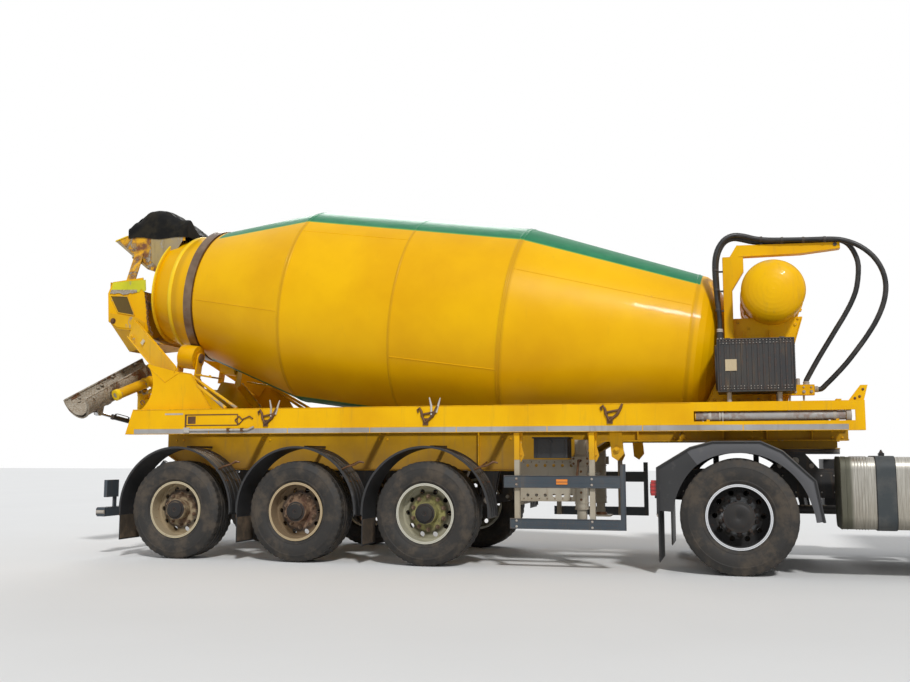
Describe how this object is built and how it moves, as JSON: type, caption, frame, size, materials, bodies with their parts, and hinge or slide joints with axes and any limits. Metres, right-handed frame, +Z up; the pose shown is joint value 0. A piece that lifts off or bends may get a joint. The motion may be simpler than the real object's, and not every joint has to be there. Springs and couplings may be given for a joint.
{
  "type": "concrete mixer truck",
  "caption": "Articulated concrete mixer lorry: turning drum, hoppers and swivelling chute on a semi-trailer behind a cab-over tractor unit.",
  "frame": {"origin": "on the ground, below the centre of the whole lorry's bounding box", "axes": "+X forward, towards the cab's front; +Y to the vehicle's left; +Z up"},
  "size_m": [12.6992, 3.06, 4.1],
  "materials": {
    "yellow_paint": "semi-gloss yellow paint, dusty and chipped",
    "grey_paint": "satin grey paint with road dust",
    "blue_grey_paint": "satin blue-grey paint",
    "dark_frame": "satin dark frame paint with dust",
    "cab_white": "gloss white paint",
    "beige_rim": "beige rim paint, rusty",
    "silver_rim": "silver rim paint",
    "worn_steel": "worn steel with rust and grease",
    "chute_steel": "steel crusted with concrete",
    "black_rubber": "matt black rubber",
    "tyre_rubber": "dusty tyre rubber",
    "black_plastic": "matt black plastic",
    "tank_aluminium": "brushed aluminium",
    "cabin_plastic": "dark cabin plastic and cloth",
    "window_glass": "lightly tinted glass"
  },
  "bodies": {
    "trailer": {"trailer_frame": "yellow_paint", "side_rails": "yellow_paint", "rear_stand": "yellow_paint", "front_stand": "yellow_paint", "feed_hopper": "yellow_paint", "hopper_hood": "black_rubber", "discharge_funnel": "yellow_paint", "hose_boom": "yellow_paint", "water_tank": "yellow_paint", "cooler_box": "dark_frame", "drum_drive": "grey_paint", "trailer_mudguards": "black_plastic", "side_guards": "blue_grey_paint", "landing_legs": "grey_paint", "trailer_axles": "dark_frame", "hose_inner": "black_rubber", "hose_outer": "black_rubber"},
    "drum": {"drum_shell": "yellow_paint", "drum_ring": "worn_steel"},
    "roller_left": {"roller_left": "yellow_paint"},
    "roller_right": {"roller_right": "yellow_paint"},
    "chute_swivel": {"chute_post": "chute_steel"},
    "chute": {"chute_trough": "chute_steel"},
    "jack_barrel": {"chute_barrel": "dark_frame"},
    "jack_rod": {"chute_rod": "grey_paint"},
    "tractor": {"tractor_frame": "dark_frame", "fuel_tank": "tank_aluminium", "battery_box": "black_plastic", "tractor_mudguards": "black_plastic", "engine_block": "worn_steel", "front_bumper": "cab_white"},
    "cab": {"cab_shell": "cab_white", "cab_glass": "window_glass", "cab_interior": "cabin_plastic"},
    "door_left": {"door_left": "cab_white", "door_glass_left": "window_glass"},
    "door_right": {"door_right": "cab_white", "door_glass_right": "window_glass"},
    "knuckle_left": {"knuckle_left": "dark_frame"},
    "knuckle_right": {"knuckle_right": "dark_frame"},
    "wheel_rear_left": {"tyre_rear_left": "tyre_rubber", "rim_rear_left": "beige_rim"},
    "wheel_rear_right": {"tyre_rear_right": "tyre_rubber", "rim_rear_right": "beige_rim"},
    "wheel_middle_left": {"tyre_middle_left": "tyre_rubber", "rim_middle_left": "beige_rim"},
    "wheel_middle_right": {"tyre_middle_right": "tyre_rubber", "rim_middle_right": "beige_rim"},
    "wheel_front_left": {"tyre_front_left": "tyre_rubber", "rim_front_left": "beige_rim"},
    "wheel_front_right": {"tyre_front_right": "tyre_rubber", "rim_front_right": "beige_rim"},
    "wheel_drive_left": {"tyre_drive_left": "tyre_rubber", "rim_drive_left": "silver_rim"},
    "wheel_steer_left": {"tyre_steer_left": "tyre_rubber", "rim_steer_left": "silver_rim"},
    "wheel_drive_right": {"tyre_drive_right": "tyre_rubber", "rim_drive_right": "silver_rim"},
    "wheel_steer_right": {"tyre_steer_right": "tyre_rubber", "rim_steer_right": "silver_rim"}
  },
  "joints": [
    {"name": "drum_spin", "type": "hinge", "parent": "trailer", "child": "drum", "pos_m": [-3.13035, 0, 2.799], "axis": [0.9899, 0, -0.1418], "continuous": true},
    {"name": "roller_left_spin", "type": "hinge", "parent": "trailer", "child": "roller_left", "pos_m": [-4.88648, 0.5, 2.24603], "axis": [0.9899, 0, -0.1418], "continuous": true},
    {"name": "roller_right_spin", "type": "hinge", "parent": "trailer", "child": "roller_right", "pos_m": [-4.88648, -0.5, 2.24603], "axis": [0.9899, 0, -0.1418], "continuous": true},
    {"name": "chute_swing", "type": "hinge", "parent": "trailer", "child": "chute_swivel", "pos_m": [-5.82035, 0, 1.7], "axis": [0, 0, -1], "range_deg": [0, 140]},
    {"name": "chute_tilt", "type": "hinge", "parent": "chute_swivel", "child": "chute", "pos_m": [-5.84087, -0.05638, 1.925], "axis": [-0.9397, 0.342, 0], "range_deg": [-12, 8]},
    {"name": "jack_barrel_swing", "type": "hinge", "parent": "chute_swivel", "child": "jack_barrel", "pos_m": [-5.86482, -0.12216, 1.5], "axis": [-0.9397, 0.342, 0], "range_deg": [-13, 9]},
    {"name": "jack_rod_slide", "type": "slide", "parent": "jack_barrel", "child": "jack_rod", "axis": [-0.3356, -0.9221, 0.1924], "range_m": [-0.092, 0.062]},
    {"name": "tractor_yaw", "type": "hinge", "parent": "trailer", "child": "tractor", "pos_m": [1.80365, 0, 1.16], "axis": [0, 0, 1], "range_deg": [-80, 80]},
    {"name": "cab_tilt", "type": "hinge", "parent": "tractor", "child": "cab", "pos_m": [6.19965, 0, 1.06], "axis": [0, 1, 0], "range_deg": [0, 60]},
    {"name": "door_left_swing", "type": "hinge", "parent": "cab", "child": "door_left", "pos_m": [6.02565, 1.256, 1.9], "axis": [0, 0, -1], "range_deg": [0, 70]},
    {"name": "door_right_swing", "type": "hinge", "parent": "cab", "child": "door_right", "pos_m": [6.02565, -1.256, 1.9], "axis": [0, 0, 1], "range_deg": [0, 70]},
    {"name": "steer_left", "type": "hinge", "parent": "tractor", "child": "knuckle_left", "pos_m": [4.95365, 0.86, 0.536], "axis": [0, 0, 1], "range_deg": [-35, 35]},
    {"name": "steer_right", "type": "hinge", "parent": "tractor", "child": "knuckle_right", "pos_m": [4.95365, -0.86, 0.536], "axis": [0, 0, 1], "range_deg": [-35, 35]},
    {"name": "wheel_rear_left_spin", "type": "hinge", "parent": "trailer", "child": "wheel_rear_left", "pos_m": [-4.60035, 1.058, 0.522], "axis": [0, 1, 0], "continuous": true},
    {"name": "wheel_rear_right_spin", "type": "hinge", "parent": "trailer", "child": "wheel_rear_right", "pos_m": [-4.60035, -1.058, 0.522], "axis": [0, 1, 0], "continuous": true},
    {"name": "wheel_middle_left_spin", "type": "hinge", "parent": "trailer", "child": "wheel_middle_left", "pos_m": [-3.19035, 1.058, 0.522], "axis": [0, 1, 0], "continuous": true},
    {"name": "wheel_middle_right_spin", "type": "hinge", "parent": "trailer", "child": "wheel_middle_right", "pos_m": [-3.19035, -1.058, 0.522], "axis": [0, 1, 0], "continuous": true},
    {"name": "wheel_front_left_spin", "type": "hinge", "parent": "trailer", "child": "wheel_front_left", "pos_m": [-1.78035, 1.058, 0.522], "axis": [0, 1, 0], "continuous": true},
    {"name": "wheel_front_right_spin", "type": "hinge", "parent": "trailer", "child": "wheel_front_right", "pos_m": [-1.78035, -1.058, 0.522], "axis": [0, 1, 0], "continuous": true},
    {"name": "wheel_drive_left_spin", "type": "hinge", "parent": "tractor", "child": "wheel_drive_left", "pos_m": [1.25365, 1.093, 0.536], "axis": [0, 1, 0], "continuous": true},
    {"name": "wheel_steer_left_spin", "type": "hinge", "parent": "knuckle_left", "child": "wheel_steer_left", "pos_m": [4.95365, 1.025, 0.536], "axis": [0, 1, 0], "continuous": true},
    {"name": "wheel_drive_right_spin", "type": "hinge", "parent": "tractor", "child": "wheel_drive_right", "pos_m": [1.25365, -1.093, 0.536], "axis": [0, 1, 0], "continuous": true},
    {"name": "wheel_steer_right_spin", "type": "hinge", "parent": "knuckle_right", "child": "wheel_steer_right", "pos_m": [4.95365, -1.025, 0.536], "axis": [0, 1, 0], "continuous": true}
  ],
  "couplings": [
    {"joint": "roller_left_spin", "follows": "drum_spin", "ratio": -5.7143},
    {"joint": "roller_right_spin", "follows": "drum_spin", "ratio": -5.7143},
    {"joint": "jack_barrel_swing", "follows": "chute_tilt", "ratio": 1},
    {"joint": "jack_rod_slide", "follows": "chute_tilt", "m_per_rad": 0.428},
    {"joint": "steer_right", "follows": "steer_left", "ratio": 1}
  ]
}
